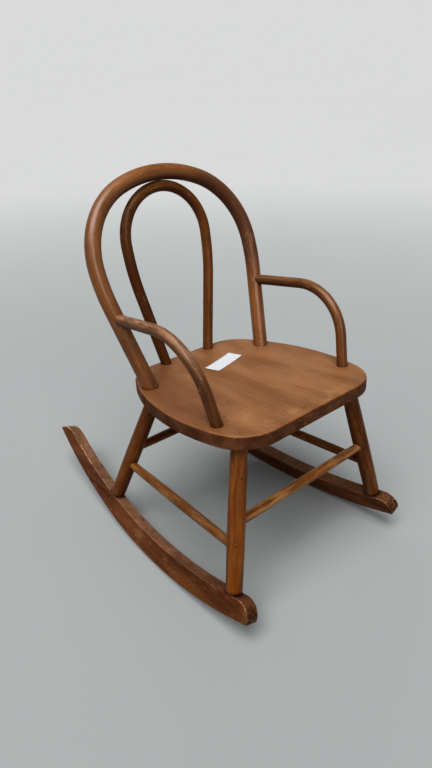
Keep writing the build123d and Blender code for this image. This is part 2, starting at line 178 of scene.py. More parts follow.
class OtherColours(bpy.types.PropertyGroup):
    steel: colour("Steel", "The screws' bare steel", (0.42, 0.4, 0.37))
    brushed_steel: colour("Brushed steel", "The darker brush marks in the steel", (0.2, 0.19, 0.18))
    rust: colour("Rust", "Stains in the screws' slots", (0.12, 0.05, 0.025))
    paper: colour("Paper", "The blank paper tag", (0.56, 0.57, 0.59))
    floor: colour("Floor", "The pale studio floor", (0.33, 0.342, 0.342))
    far_floor: colour("Far floor", "The floor's paler tone further off", (0.48, 0.485, 0.48))
    floor_mottle: colour("Floor mottle", "What faintly darkens the floor in patches", (0, 0, 0))
    sky: colour("Surroundings", "The light all round", (0.22, 0.224, 0.222))
    screen: colour("Screen", "A pale screen behind the chair", (0.36, 0.36, 0.35))
    backdrop: colour("Backdrop", "What is seen beyond the floor", (0.516, 0.523, 0.517))
    dome: colour("Overhead", "The dimmer light from above", (0.16, 0.164, 0.168))
    show_tag: BoolProperty(name="Tag", description="Lay a blank tag on the seat", default=True)


class ChairSettings(bpy.types.PropertyGroup):
    hoops: PointerProperty(type=HoopSizes)
    arms: PointerProperty(type=ArmSizes)
    wood: PointerProperty(type=WoodColours)
    other: PointerProperty(type=OtherColours)


# Places on the chair


def on_seat(x, back, up=0.0):
    """A point given along the seat's own plane."""
    return DATUM + ACROSS * x + SEAT_BACK * back + SEAT_UP * up


def on_side(side, *points):
    """Points of the left side, mirrored where side is -1."""
    mirror = Matrix.Diagonal((side, 1, 1))
    return [mirror @ point for point in points]


# Bent rods


def verts_in(geometry):
    return [item for item in geometry if isinstance(item, bmesh.types.BMVert)]


class BentRod:
    """Grows a round rod ring by ring along straights and bends.

    Each vertex keeps its place in the rod as it was before bending, as the attribute "rod": two
    coordinates across the rod and one along it, so that the grain follows every bend.
    """

    ring_spacing = 0.005

    def __init__(self, start, way, flat, radius, sides=44):
        self.bm = bmesh.new()
        self.place = self.bm.verts.layers.float_vector.new("rod")
        self.centre, self.way, self.flat = start.copy(), way.normalized(), flat.normalized()
        self.along = 0.0
        lie = Matrix((self.across(), self.flat, self.way)).transposed().to_4x4()
        lie.translation = start
        made = bmesh.ops.create_circle(
            self.bm, cap_ends=True, radius=radius, segments=sides, matrix=lie
        )
        self.take(made["verts"])

    def across(self):
        return self.flat.cross(self.way)

    def take(self, geometry):
        """Makes these vertices the last ring, and writes where they lie in the straight rod."""
        self.ring = verts_in(geometry)
        for vert in self.ring:
            out = vert.co - self.centre
            vert[self.place] = (out.dot(self.across()), out.dot(self.flat), self.along)

    def ring_edges(self):
        ring = set(self.ring)
        edges = dict.fromkeys(edge for vert in self.ring for edge in vert.link_edges)
        return [edge for edge in edges if set(edge.verts) <= ring]

    def straight(self, run):
        steps = max(1, round(run / self.ring_spacing))
        for _ in range(steps):
            step = self.way * (run / steps)
            made = bmesh.ops.extrude_edge_only(self.bm, edges=self.ring_edges())["geom"]
            bmesh.ops.translate(self.bm, verts=verts_in(made), vec=step)
            self.centre += step
            self.along += run / steps
            self.take(made)

    def bend(self, radius, turn):
        """Turns about the axis that the rod's plane gives, towards its left as it grows."""
        steps = max(2, round(radius * turn / self.ring_spacing))
        middle = self.centre + self.across() * radius
        step = Matrix.Rotation(turn / steps, 3, self.flat)
        for _ in range(steps):
            made = bmesh.ops.spin(
                self.bm,
                geom=self.ring_edges(),
                cent=middle,
                axis=self.flat,
                angle=turn / steps,
                steps=1,
            )
            self.centre = middle + step @ (self.centre - middle)
            self.way = step @ self.way
            self.along += radius * turn / steps
            self.take(made["geom_last"])

    def finish(self, name, fit_end=None):
        """Caps the last ring and returns the piece. fit_end says where each end point goes."""
        cap = bmesh.ops.contextual_create(self.bm, geom=self.ring_edges())["faces"]
        if fit_end:
            cap = bmesh.ops.poke(self.bm, faces=cap)
            for vert in self.ring + cap["verts"]:
                vert.co = fit_end(vert.co)
        bmesh.ops.recalc_face_normals(self.bm, faces=self.bm.faces)
        for face in self.bm.faces:
            face.smooth = len(face.verts) == 4
        for edge in self.bm.edges:
            edge.smooth = len({face.smooth for face in edge.link_faces}) == 1
        return piece_of(self.bm, name)


def piece_of(bm, name):
    mesh = bpy.data.meshes.new(name)
    bm.to_mesh(mesh)
    bm.free()
    piece = bpy.data.objects.new(name, mesh)
    bpy.context.scene.collection.objects.link(piece)
    return piece


class HoopShape:
    """A hoop's plane and the runs of its centre line, from the left foot over to the right one."""

    def __init__(self, origin, up, height, half_width, foot_half, shoulder, crown_turn, side):
        self.origin, self.up = origin, up.normalized()
        crown = shoulder + (half_width - shoulder) / math.sin(crown_turn)
        widest = height - crown * (1 - math.cos(crown_turn)) - shoulder * math.cos(crown_turn)
        to_centre = Vector((half_width - side - foot_half, widest))
        spread = math.asin(side / to_centre.length)
        rise = math.atan2(to_centre.y, to_centre.x) - spread
        self.foot = origin + ACROSS * foot_half
        self.leg = math.sqrt(to_centre.length_squared - side**2)
        self.leg_way = ACROSS * math.cos(rise) + self.up * math.sin(rise)
        half = [(side, math.pi / 2 - rise), (shoulder, math.pi / 2 - crown_turn)]
        self.bends = [*half, (crown, 2 * crown_turn), *reversed(half)]

    def rod(self, diameter, let_in, name):
        start = self.foot - self.leg_way * let_in
        rod = BentRod(start, self.leg_way, ACROSS.cross(self.up), diameter / 2)
        rod.straight(let_in + self.leg)
        for radius, turn in self.bends:
            rod.bend(radius, turn)
        rod.straight(self.leg + let_in)
        return rod.finish(name)


def outer_shape(sizes):
    lean = sizes.outer_lean
    return HoopShape(
        on_seat(0, sizes.outer_foot_back),
        Vector((0, math.sin(lean), math.cos(lean))),
        sizes.outer_height,
        sizes.outer_half_width,
        sizes.outer_foot_half,
        sizes.outer_shoulder,
        sizes.crown_turn,
        sizes.outer_side,
    )


def inner_shape(sizes):
    """It leans until its crown is under the outer one, and its shoulders and crown are one arc."""
    outer = outer_shape(sizes)
    drop = math.sqrt(sizes.crown_reach**2 - sizes.crown_offset**2)
    crown = outer.origin + outer.up * sizes.outer_height - Vector((0, sizes.crown_offset, drop))
    origin = on_seat(0, sizes.inner_foot_back)
    return HoopShape(
        origin,
        crown - origin,
        (crown - origin).length,
        sizes.inner_half_width,
        sizes.inner_foot_half,
        sizes.inner_half_width,
        sizes.crown_turn,
        sizes.inner_side,
    )


def bend_arm(chair, side, name):
    """One arm: a post out of the seat, one bend, and a rail coped onto the outer hoop."""
    sizes, hoop = chair.arms, outer_shape(chair.hoops)
    foot = on_seat(sizes.foot_out, -sizes.foot_forward)
    corner = on_seat(sizes.corner_out, -sizes.corner_forward, sizes.corner_rise)
    joint = hoop.foot + hoop.leg_way * (sizes.joint_height / hoop.leg_way.dot(hoop.up))
    foot, corner, joint, leg_way = on_side(side, foot, corner, joint, hoop.leg_way)
    post, rail = corner - foot, joint - corner
    turn = post.angle(rail)
    tangent = sizes.bend * math.tan(turn / 2)
    start = foot - post.normalized() * chair.hoops.let_in
    rod = BentRod(start, post, post.cross(rail), sizes.diameter / 2, sides=36)
    rod.straight(post.length - tangent + chair.hoops.let_in)
    rod.bend(sizes.bend, turn)
    rail_way = rail.normalized()
    clear = chair.hoops.outer_diameter / 2 + sizes.cope_gap
    rod.straight(rail.length - tangent - clear)

    def cope(point):
        """Slides a point of the end along the rail until it meets the hoop's leg."""
        out = point - joint
        out -= leg_way * out.dot(leg_way)
        run = rail_way - leg_way * rail_way.dot(leg_way)
        a, b, c = run.length_squared, out.dot(run), out.length_squared - clear**2
        return point + rail_way * ((-b - math.sqrt(b * b - a * c)) / a)

    return rod.finish(name, fit_end=cope)


# Wiring of the materials


def opaque(rgb):
    return (*rgb, 1.0)


def scaled(rgb, share):
    return tuple(share * channel for channel in rgb)


class Wiring:
    """Adds nodes to a shader tree and joins them up as they are made."""

    def __init__(self, tree):
        self.tree = tree

    def feed(self, socket, value):
        if isinstance(value, bpy.types.NodeSocket):
            self.tree.links.new(value, socket)
        else:
            socket.default_value = value

    def add(self, kind, inputs=None, **settings):
        node = self.tree.nodes.new(kind)
        for name, value in settings.items():
            setattr(node, name, value)
        for name, value in (inputs or {}).items():
            self.feed(node.inputs[name], value)
        return node

    def coordinates(self, kind):
        return self.add("ShaderNodeTexCoord").outputs[kind]

    def part(self, vector, axis):
        return self.add("ShaderNodeSeparateXYZ", {"Vector": vector}).outputs[axis]

    def flat(self, x, y):
        return self.add("ShaderNodeCombineXYZ", {"X": x, "Y": y}).outputs["Vector"]

    def math(self, operation, *values):
        node = self.add("ShaderNodeMath", operation=operation)
        for socket, value in zip(node.inputs, values):
            self.feed(socket, value)
        return node.outputs[0]

    def product(self, first, *others):
        for other in others:
            first = self.math("MULTIPLY", first, other)
        return first

    def vector(self, operation, *values):
        node = self.add("ShaderNodeVectorMath", operation=operation)
        for socket, value in zip(node.inputs, values):
            self.feed(socket, value)
        return node.outputs["Value" if operation in ("DOT_PRODUCT", "LENGTH") else "Vector"]

    def blend(self, share, under, over, mode="MIX"):
        node = self.add("ShaderNodeMix", data_type="RGBA", blend_type=mode)
        for index, value in ((0, share), (6, under), (7, over)):
            self.feed(node.inputs[index], value)
        return node.outputs[2]

    def stain(self, shade, rgb, *masks):
        """Lays a colour over a shade, as strongly as the masks say when multiplied."""
        return self.blend(self.product(*masks), shade, opaque(rgb))

    def ease(self, value, low, high, start=0.0, end=1.0):
        """A soft step: start below low, end above high."""
        node = self.add(
            "ShaderNodeMapRange",
            {"From Min": low, "From Max": high, "To Min": start, "To Max": end},
            interpolation_type="SMOOTHSTEP",
        )
        self.feed(node.inputs["Value"], value)
        return node.outputs["Result"]

    def fade(self, value, low, high, start=1.0, end=0.0):
        """A soft step down."""
        return self.ease(value, low, high, start, end)

    def placed(self, vector, scale=(1, 1, 1), move=(0, 0, 0), turn=(0, 0, 0)):
        node = self.add(
            "ShaderNodeMapping",
            {"Vector": vector, "Location": move, "Rotation": turn, "Scale": scale},
        )
        return node.outputs["Vector"]

    def noise(self, vector, scale, detail=3.0, roughness=0.55, squeeze=1.0):
        """Clouds. A squeeze below 1 draws them out along Z, where the grain runs."""
        if squeeze != 1.0:
            vector = self.placed(vector, (1, 1, squeeze))
        return self.add(
            "ShaderNodeTexNoise",
            {"Vector": vector, "Scale": scale, "Detail": detail, "Roughness": roughness},
        ).outputs["Fac"]


def node_group(name, inputs, outputs):
    """A new shader node group; returns it with its wiring and its two end nodes."""
    group = bpy.data.node_groups.new(name, "ShaderNodeTree")
    kinds = {"vector": "NodeSocketVector", "colour": "NodeSocketColor", "value": "NodeSocketFloat"}
    for in_out, sockets in (("INPUT", inputs), ("OUTPUT", outputs)):
        for label, kind in sockets.items():
            group.interface.new_socket(label, in_out=in_out, socket_type=kinds[kind])
    wiring = Wiring(group)
    start = wiring.add("NodeGroupInput").outputs
    end = wiring.add("NodeGroupOutput").inputs
    return group, wiring, start, end


def build_stained_grain():
    """Growth rings, long streaks and short pores, in a frame whose Z runs along the grain."""
    values = dict.fromkeys(("Ring Width", "Rings", "Streaks", "Clouds"), "value")
    group, w, start, end = node_group(
        "Stained Grain",
        {"Point": "vector", "Light": "colour", "Dark": "colour", **values},
        {"Color": "colour", "Height": "value"},
    )
    point = start["Point"]
    heart = w.placed(point, move=(0.034, 0.017, 0))
    reach = w.vector("LENGTH", w.flat(w.part(heart, "X"), w.part(heart, "Y")))
    drift = w.noise(point, 22.0, detail=2.0, squeeze=0.12)
    reach = w.math("ADD", reach, w.product(drift, 0.011))
    year = w.math("FRACT", w.math("DIVIDE", reach, start["Ring Width"]))
    late = w.product(w.ease(year, 0.35, 0.9), w.fade(year, 0.93, 1.0))
    streak = w.noise(point, 330.0, detail=5.0, roughness=0.6, squeeze=0.035)
    cloud = w.noise(point, 26.0, roughness=0.5, squeeze=0.3)
    tone = 0.5
    for pattern, middle, share in (
        (late, 0.4, "Rings"),
        (streak, 0.5, "Streaks"),
        (cloud, 0.5, "Clouds"),
    ):
        swing = w.product(w.math("SUBTRACT", pattern, middle), start[share])
        tone = w.math("ADD", tone, swing)
    tone = w.ease(tone, 0.0, 1.0)
    pore = w.ease(w.noise(point, 1150.0, detail=1.0, squeeze=0.07), 0.63, 0.70)
    shade = w.blend(tone, start["Light"], start["Dark"])
    shade = w.blend(w.product(pore, 0.4), shade, start["Dark"], "MULTIPLY")
    fibre = w.noise(point, 1300.0, detail=2.0, squeeze=0.02)
    relief = w.math("SUBTRACT", w.product(fibre, 0.35), w.product(pore, 0.6))
    w.feed(end["Color"], shade)
    w.feed(end["Height"], w.math("ADD", relief, w.product(streak, 0.5)))
    return group


def build_rubbed_edges():
    """Where a board's rounded edges are rubbed: its faces lie square to or along the axis."""
    group, w, start, end = node_group(
        "Rubbed Edges",
        {"Point": "vector", "Normal": "vector", "Axis": "vector"},
        {"Mask": "value"},
    )
    facing = w.math("ABSOLUTE", w.vector("DOT_PRODUCT", start["Normal"], start["Axis"]))
    edge = w.product(w.ease(facing, 0.08, 0.4), w.fade(facing, 0.75, 0.985))
    patch = w.ease(w.noise(start["Point"], 34.0, detail=4.0, roughness=0.7), 0.4, 0.6, start=0.08)
    chip = w.ease(w.noise(start["Point"], 420.0, detail=2.0), 0.3, 0.6, start=0.5)
    w.feed(end["Mask"], w.product(edge, patch, chip))
    return group


def build_handling_wear():
    """Marks of use: broad rubbed patches, thin scratches and small dents."""
    group, w, start, end = node_group(
        "Handling Wear",
        {"Point": "vector"},
        {"Rubbed": "value", "Scratches": "value", "Dents": "value"},
    )
    point = start["Point"]
    rubbed = w.ease(w.noise(point, 21.0, detail=6.0, roughness=0.66), 0.53, 0.7)
    scratches = 0.0
    for turn, squeeze in ((0.03, 0.05), (0.55, 0.09), (-0.4, 0.11)):
        slant = w.placed(point, turn=(turn, turn * 0.7, 0.0))
        lines = w.ease(w.noise(slant, 620.0, detail=0.0, squeeze=squeeze), 0.76, 0.8)
        scratches = w.math("MAXIMUM", scratches, lines)
    where = w.ease(w.noise(point, 31.0, detail=2.0), 0.42, 0.6)
    cells = w.add("ShaderNodeTexVoronoi", {"Vector": point, "Scale": 46.0})
    size = w.product(w.noise(point, 33.0, detail=1.0), 0.14)
    dents = w.fade(w.math("SUBTRACT", cells.outputs["Distance"], size), 0.0, 0.06)
    w.feed(end["Rubbed"], rubbed)
    w.feed(end["Scratches"], w.product(scratches, where))
    w.feed(end["Dents"], dents)
    return group


def build_shade_below():
    """Painted shade: darker on the sides that face the floor."""
    group, w, start, end = node_group("Dark Underside", {"Normal": "vector"}, {"Mask": "value"})
    w.feed(end["Mask"], w.fade(w.part(start["Normal"], "Z"), -0.85, 0.25))
    return group


def build_rod_foot_ring():
    """The dark ring where a rod stands in a board, by its distance seen from above."""
    group, w, start, end = node_group(
        "Rod Grime",
        {"Point": "vector", "Foot": "vector", "Radius": "value", "Spread": "value"},
        {"Mask": "value"},
    )
    away = w.vector("SUBTRACT", start["Point"], start["Foot"])
    away = w.vector("MULTIPLY", away, (1.0, 1.0, 0.0))
    gap = w.math("SUBTRACT", w.vector("LENGTH", away), start["Radius"])
    w.feed(end["Mask"], w.fade(w.math("DIVIDE", gap, start["Spread"]), 0.0, 1.0))
    return group


GROUPS = {
    "Stained Grain": build_stained_grain,
    "Rubbed Edges": build_rubbed_edges,
    "Handling Wear": build_handling_wear,
    "Dark Underside": build_shade_below,
    "Rod Grime": build_rod_foot_ring,
}


def use_group(w, name, inputs):
    tree = bpy.data.node_groups.get(name) or GROUPS[name]()
    return w.add("ShaderNodeGroup", inputs, node_tree=tree).outputs


# Each kind of wood: how wide its rings are, then how strong its rings, streaks and clouds are
GRAINS = {
    "seat": (0.009, 0.1, 0.5, 2.0),
    "bent": (0.0042, 0.16, 0.55, 1.9),
    "turned": (0.005, 0.2, 0.75, 1.7),
    "rocker": (0.006, 0.25, 1.0, 2.2),
}


def stained_grain(w, point, wood, kind, paleness=1.0):
    ring_width, rings, streaks, clouds = GRAINS[kind]
    return use_group(w, "Stained Grain", {
        "Point": point,
        "Light": opaque(scaled(getattr(wood, f"{kind}_light"), paleness)),
        "Dark": opaque(scaled(getattr(wood, f"{kind}_dark"), paleness)),
        "Ring Width": ring_width,
        "Rings": rings,
        "Streaks": streaks,
        "Clouds": clouds,
    })


def rubbed_edges(w, axis):
    inputs = {"Point": w.coordinates("Object"), "Normal": w.coordinates("Normal"), "Axis": axis}
    return use_group(w, "Rubbed Edges", inputs)["Mask"]


# Paints shade on the faces that point down
def paint_shade_below(w, shade, wood):
    mask = use_group(w, "Dark Underside", {"Normal": w.coordinates("Normal")})["Mask"]
    return w.stain(shade, wood.underside, mask, 0.85)


def rod_foot_ring(w, point, foot, radius, spread):
    inputs = {"Point": point, "Foot": foot, "Radius": radius, "Spread": spread}
    return use_group(w, "Rod Grime", inputs)["Mask"]


def new_material(name):
    material = bpy.data.materials.new(name)
    material.use_nodes = True
    tree = material.node_tree
    return material, Wiring(tree), tree.nodes["Principled BSDF"]


def set_surface(w, shader, shade, roughness, specular=0.5, coat=0.0, coat_roughness=0.03):
    w.feed(shader.inputs["Base Color"], shade)
    w.feed(shader.inputs["Roughness"], roughness)
    shader.inputs["Specular IOR Level"].default_value = specular
    shader.inputs["Coat Weight"].default_value = coat
    shader.inputs["Coat Roughness"].default_value = coat_roughness


def piece_point(w, origin, along, near=UPRIGHT):
    """Object coordinates taken into a frame at origin whose Z runs along the piece."""
    z = along.normalized()
    x = near.cross(z).normalized()
    turn = Matrix((x, z.cross(x), z)).transposed().to_euler()
    node = w.add(
        "ShaderNodeMapping",
        {"Vector": w.coordinates("Object"), "Location": origin, "Rotation": turn},
        vector_type="TEXTURE",
    )
    return node.outputs["Vector"]


def raise_bump(w, shader, height, strength, distance):
    bump = w.add(
        "ShaderNodeBump", {"Height": height, "Strength": strength, "Distance": distance}
    )
    w.feed(shader.inputs["Normal"], bump.outputs["Normal"])


# Materials. Each one's move takes its pattern to another bit of grain, and a larger paleness is
# a paler stain.


def seat_finish(chair):
    """The seat's plank: streaky brown stain, dark edges, rubbed patches, and dark rings and red
    halos round the rods' feet.
    """
    hoops, arms, wood = chair.hoops, chair.arms, chair.wood
    material, w, shader = new_material("seat plank finish")
    place, normal = w.coordinates("Object"), w.coordinates("Normal")
    x, y = w.part(place, "X"), w.part(place, "Y")
    point = w.vector("ADD", piece_point(w, DATUM, SEAT_BACK, SEAT_UP), (0.31, 0.0, 0.12))
    grain = stained_grain(w, point, wood, "seat")
    wear = use_group(w, "Handling Wear", {"Point": point})

    # Redder towards the rear right corner
    towards = w.math("ADD", w.product(x, 3.2), w.product(w.noise(place, 9.0), 0.7))
    red = w.fade(w.math("SUBTRACT", towards, w.product(y, 1.4)), -0.35, 0.42, start=0.75)
    shade = w.stain(grain["Color"], wood.seat_red, red)

    # Rubbed in short streaks, most of all near the front
    front = w.fade(y, -0.235, -0.14, end=0.25)
    mottle = w.noise(point, 90.0, detail=4.0, roughness=0.7, squeeze=0.35)
    mottle = w.ease(mottle, 0.4, 0.62, start=0.45)
    shade = w.stain(shade, wood.seat_rubbed, wear["Rubbed"], front, mottle, 0.5)

    # The dark rim, with paler flecks that are fewest at the right
    rim = w.fade(w.vector("DOT_PRODUCT", normal, SEAT_UP), 0.4, 0.95)
    rim_cloud = w.fade(w.noise(place, 40.0, detail=5.0, roughness=0.65), 0.35, 0.7, end=0.72)
    flecks = w.noise(place, 85.0, detail=4.0, roughness=0.7, squeeze=2.5)
    flecks = w.product(w.ease(flecks, 0.5, 0.68), w.ease(x, -0.13, -0.09, 0.2, 0.6))
    edge = w.stain(opaque(wood.seat_edge), wood.seat_worn_edge, flecks)
    shade = w.blend(w.product(rim, rim_cloud), shade, edge)
    shade = w.stain(shade, wood.seat_rubbed, rubbed_edges(w, SEAT_UP), 0.22)
    shade = w.stain(shade, wood.seat_rubbed, wear["Scratches"], 0.3)

    # A thin dark ring and a wide red halo round each rod's foot
    glue_line, ring_width, halo_width = 0.0002, 0.0018, 0.018
    grime = w.product(wear["Dents"], 0.3)
    beside = w.flat(w.math("ABSOLUTE", x), y)
    for foot_out, foot_back, diameter in (
        (hoops.outer_foot_half, hoops.outer_foot_back, hoops.outer_diameter),
        (hoops.inner_foot_half, hoops.inner_foot_back, hoops.inner_diameter),
        (arms.foot_out, -arms.foot_forward, arms.diameter),
    ):
        foot, hole = on_seat(foot_out, foot_back), diameter / 2 + glue_line
        halo = rod_foot_ring(w, beside, foot, hole, halo_width)
        ring = rod_foot_ring(w, beside, foot, hole, ring_width)
        shade = w.stain(shade, wood.seat_red, halo, 0.45)
        grime = w.math("MAXIMUM", grime, w.product(ring, 0.5))
    shade = w.stain(shade, wood.grime, grime)

    dull = w.ease(w.noise(place, 14.0, detail=5.0, roughness=0.6), 0.3, 0.7, 0.36, 0.52)
    dull = w.math("ADD", dull, w.product(rim, 0.3))
    set_surface(w, shader, shade, dull, specular=0.32)
    raise_bump(w, shader, grain["Height"], strength=0.22, distance=0.0004)
    return material


def rod_finish(
    name, wood, move, rubbed_share, paleness, gloss, rubbed_from=-0.1, deeper=None, paler=None
):
    """Bent rod: the grain follows the rod's own coordinates round every bend.

    Along the rod, rubbed_from is where the rubbing starts. The stain is deeper and duller between
    the two distances in deeper. Between those in paler the upward faces are rubbed a little pale,
    which also serves as a painted highlight.
    """
    material, w, shader = new_material(name)
    rod = w.add("ShaderNodeAttribute", attribute_name="rod").outputs["Vector"]
    along = w.part(rod, "Z")
    point = w.vector("ADD", rod, move)
    grain = stained_grain(w, point, wood, "bent", paleness)
    wear = use_group(w, "Handling Wear", {"Point": point})
    upward = w.ease(w.part(w.coordinates("Normal"), "Z"), 0.05, 0.85, start=0.05)
    streaks = w.noise(point, 260.0, detail=4.0, roughness=0.7, squeeze=0.2)
    streaks = w.ease(streaks, 0.4, 0.6, start=0.3)
    worn = w.math("MAXIMUM", w.product(wear["Rubbed"], 0.8), w.product(streaks, 0.7))
    reached = w.ease(along, rubbed_from - 0.05, rubbed_from + 0.03)
    rubbed = w.product(worn, upward, reached, rubbed_share)
    roughness = w.ease(rubbed, 0.0, 0.5, 0.36, 0.5)

    def between(first, last, fringe=0.05):
        return w.product(w.ease(along, first - fringe, first), w.fade(along, last, last + fringe))

    # Painted shade on the faces that point down
    shade = paint_shade_below(w, grain["Color"], wood)
    if deeper:
        dulled = between(*deeper)
        shade = w.stain(shade, scaled(wood.bent_dark, 0.78), dulled, 0.9)
        roughness = w.math("ADD", roughness, w.product(dulled, 0.3))
    # Rubbed wood on the upward faces of one stretch, which also serves as a painted highlight
    if paler:
        shade = w.stain(shade, wood.bent_rubbed_and_highlight, between(*paler), upward, 0.12)
    shade = w.stain(shade, wood.bent_rubbed_and_highlight, rubbed)
    shade = w.stain(shade, wood.bent_rubbed_and_highlight, wear["Scratches"], 0.35)
    shade = w.stain(shade, wood.grime, wear["Dents"], 0.35)
    from_datum = w.vector("SUBTRACT", w.coordinates("Object"), DATUM)
    rise = w.vector("DOT_PRODUCT", from_datum, SEAT_UP)
    shade = w.stain(shade, wood.grime, w.fade(rise, 0.0002, 0.0022, start=0.55))
    set_surface(w, shader, shade, roughness, gloss, coat=0.3 * gloss, coat_roughness=0.28)
    lumps = w.noise(point, 95.0, detail=2.0, squeeze=0.35)
    height = w.math("ADD", w.product(grain["Height"], 0.35), w.product(lumps, 1.6))
    raise_bump(w, shader, height, strength=0.35, distance=0.0006)
    return material


def turned_finish(
    name, wood, ends, move, paleness, rubbed_share=0.16, knobbly=0.6, dark_foot=True, dulled=0.0
):
    """Turned rod, in a frame whose Z runs up the piece from the first of its ends."""
    start, end = ends
    reach = (end - start).length
    material, w, shader = new_material(name)
    straight = piece_point(w, start, end - start)
    along = w.part(straight, "Z")
    point = w.vector("ADD", straight, move)
    grain = stained_grain(w, point, wood, "turned", paleness)
    wear = use_group(w, "Handling Wear", {"Point": point})
    # Painted shade on the faces that point down
    shade = paint_shade_below(w, grain["Color"], wood)
    if dulled:
        patches = w.ease(w.noise(point, 60.0, squeeze=0.5), 0.38, 0.62, 0.5, 1.5)
        shade = w.stain(shade, wood.turned_dull, patches, dulled)
    streaks = w.ease(w.noise(point, 170.0, squeeze=0.12), 0.42, 0.64)
    rubbed = w.math("MAXIMUM", wear["Rubbed"], w.product(streaks, 0.7))
    shade = w.stain(shade, wood.turned_rubbed, rubbed, rubbed_share)
    shade = w.stain(shade, wood.turned_rubbed, wear["Scratches"], 0.35)
    shade = w.stain(shade, wood.grime, wear["Dents"], 0.6)
    # Darker over the first few millimetres from the lower end
    if dark_foot:
        shade = w.stain(shade, wood.grime, w.fade(along, 0.002, 0.007, start=0.9))
    # Darker over the last centimetre towards the upper end
    shade = w.stain(shade, wood.grime, w.ease(along, reach - 0.012, reach - 0.001, end=0.6))
    roughness = w.ease(wear["Rubbed"], 0.0, 1.0, 0.28, 0.42)
    set_surface(w, shader, shade, roughness, specular=0.22, coat=0.08, coat_roughness=0.2)
    lumps = w.noise(point, 120.0, detail=2.0, squeeze=0.4)
    height = w.math("ADD", w.product(grain["Height"], 0.35), w.product(lumps, knobbly))
    raise_bump(w, shader, height, strength=0.35, distance=0.0006)
    return material


def rocker_finish(name, wood, side, move):
    """Sawn board: dark sides, a dusty trodden top and bare wood along the worn edges."""
    material, w, shader = new_material(name)
    middle, along, up = on_side(side, ROCKER_MIDDLE, ROCKER_ALONG, ROCKER_UP)
    place, normal = w.coordinates("Object"), w.coordinates("Normal")
    straight = piece_point(w, middle, along, up)
    point = w.vector("ADD", straight, move)
    grain = stained_grain(w, point, wood, "rocker")
    wear = use_group(w, "Handling Wear", {"Point": point})

    # Dust on the top, thinner towards the front
    top = w.ease(w.vector("DOT_PRODUCT", normal, up), 0.45, 0.85)
    dust = w.ease(w.noise(point, 55.0, detail=6.0, roughness=0.75), 0.3, 0.7, start=0.35)
    run = w.part(straight, "Z")
    trodden = w.ease(run, -0.2, 0.02, start=0.3)
    shade = w.stain(grain["Color"], wood.rocker_top, top, dust, trodden)
    shade = w.stain(shade, wood.rocker_rubbed, wear["Rubbed"], 0.12)
    shade = w.stain(shade, wood.rocker_rubbed, wear["Scratches"], 0.35)
    shade = w.stain(shade, wood.grime, wear["Dents"], 0.6)

    # Bare wood along the edges, most of all near both ends
    edges = rubbed_edges(w, along.cross(up).normalized())
    bare = w.ease(w.math("ABSOLUTE", run), 0.16, 0.23, start=0.16)
    broken = w.ease(w.noise(place, 120.0, roughness=0.7), 0.4, 0.56, start=0.25)
    shade = w.stain(shade, wood.rocker_rubbed, edges, bare, broken)

    # Dark end grain, flecked and chipped
    endwise = w.math("ABSOLUTE", w.vector("DOT_PRODUCT", normal, along))
    endwise = w.ease(endwise, 0.35, 0.7)
    flecks = w.fade(w.noise(place, 330.0, roughness=0.7), 0.35, 0.6, end=0.25)
    shade = w.stain(shade, wood.end_grain, endwise, flecks, 0.85)
    chips = w.ease(w.noise(place, 210.0, detail=4.0, roughness=0.75), 0.54, 0.66)
    shade = w.stain(shade, wood.rocker_rubbed, chips, endwise, 0.35)

    # Painted shade round each leg's foot on the rocker's top, over a dark joint line
    for foot, _ in LEGS.values():
        (foot,) = on_side(side, foot)
        ring = rod_foot_ring(w, place, foot, LEG_FOOT_RADIUS, spread=0.008)
        shade = w.stain(shade, wood.grime, ring, top, 0.75)
    set_surface(w, shader, shade, w.ease(top, 0.0, 1.0, 0.45, 0.7), specular=0.16)
    height = w.math("ADD", grain["Height"], w.product(wear["Dents"], -1.5))
    raise_bump(w, shader, height, strength=0.35, distance=0.0005)
    return material


def steel_finish(other):
    """Countersunk screws: brushed steel, rusted here and there."""
    material, w, shader = new_material("dull screw steel")
    point = w.coordinates("Object")
    brushed = w.noise(point, 900.0, detail=2.0, squeeze=6.0)
    rust = w.ease(w.noise(point, 420.0, detail=4.0, roughness=0.65), 0.52, 0.66)
    shade = w.stain(opaque(other.steel), other.brushed_steel, brushed, 0.4)
    shade = w.stain(shade, other.rust, rust)
    set_surface(w, shader, shade, w.ease(rust, 0.0, 1.0, 0.34, 0.8))
    w.feed(shader.inputs["Metallic"], w.ease(rust, 0.0, 1.0, 1.0, 0.1))
    raise_bump(w, shader, brushed, strength=0.2, distance=0.0001)
    return material


def paper_finish(other):
    """Plain white paper, with a faint mottle and a slight tooth."""
    material, w, shader = new_material("blank tag paper")
    point = w.coordinates("Object")
    mottle = w.noise(point, 160.0, detail=4.0, roughness=0.6)
    shade = w.stain(opaque(other.paper), scaled(other.paper, 0.9), mottle, 0.5)
    set_surface(w, shader, shade, w.ease(mottle, 0.2, 0.8, 0.6, 0.75))
    raise_bump(w, shader, w.noise(point, 1800.0), strength=0.1, distance=0.0001)
    return material


def floor_finish(other):
    """Painted floor, paler further off and faintly mottled."""
    material, w, shader = new_material("pale floor")
    point = w.coordinates("Object")
    far = w.ease(w.vector("LENGTH", point), 0.5, 4.5)
    shade = w.stain(opaque(other.floor), other.far_floor, far)
    shade = w.stain(shade, other.floor_mottle, w.noise(point, 1.2), 0.04)
    set_surface(w, shader, shade, roughness=0.9, specular=0.1)
    return material


def dress(piece, material):
    """Gives a whole piece or CAD node one material."""
    if not piece.material_slots:
        piece.data.materials.append(material)
    for slot in piece.material_slots:
        slot.link = "OBJECT"
        slot.material = material


# Operators, one for each piece or group of like pieces


class ChairOperator(bpy.types.Operator):
    """Shared start of the chair's operators"""

    bl_options = {"REGISTER", "UNDO"}

    def settings(self, context):
        return context.scene.rocking_chair


def bent_piece(piece, node, material):
    dress(piece, material)
    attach(piece, "root")
    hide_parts(node)


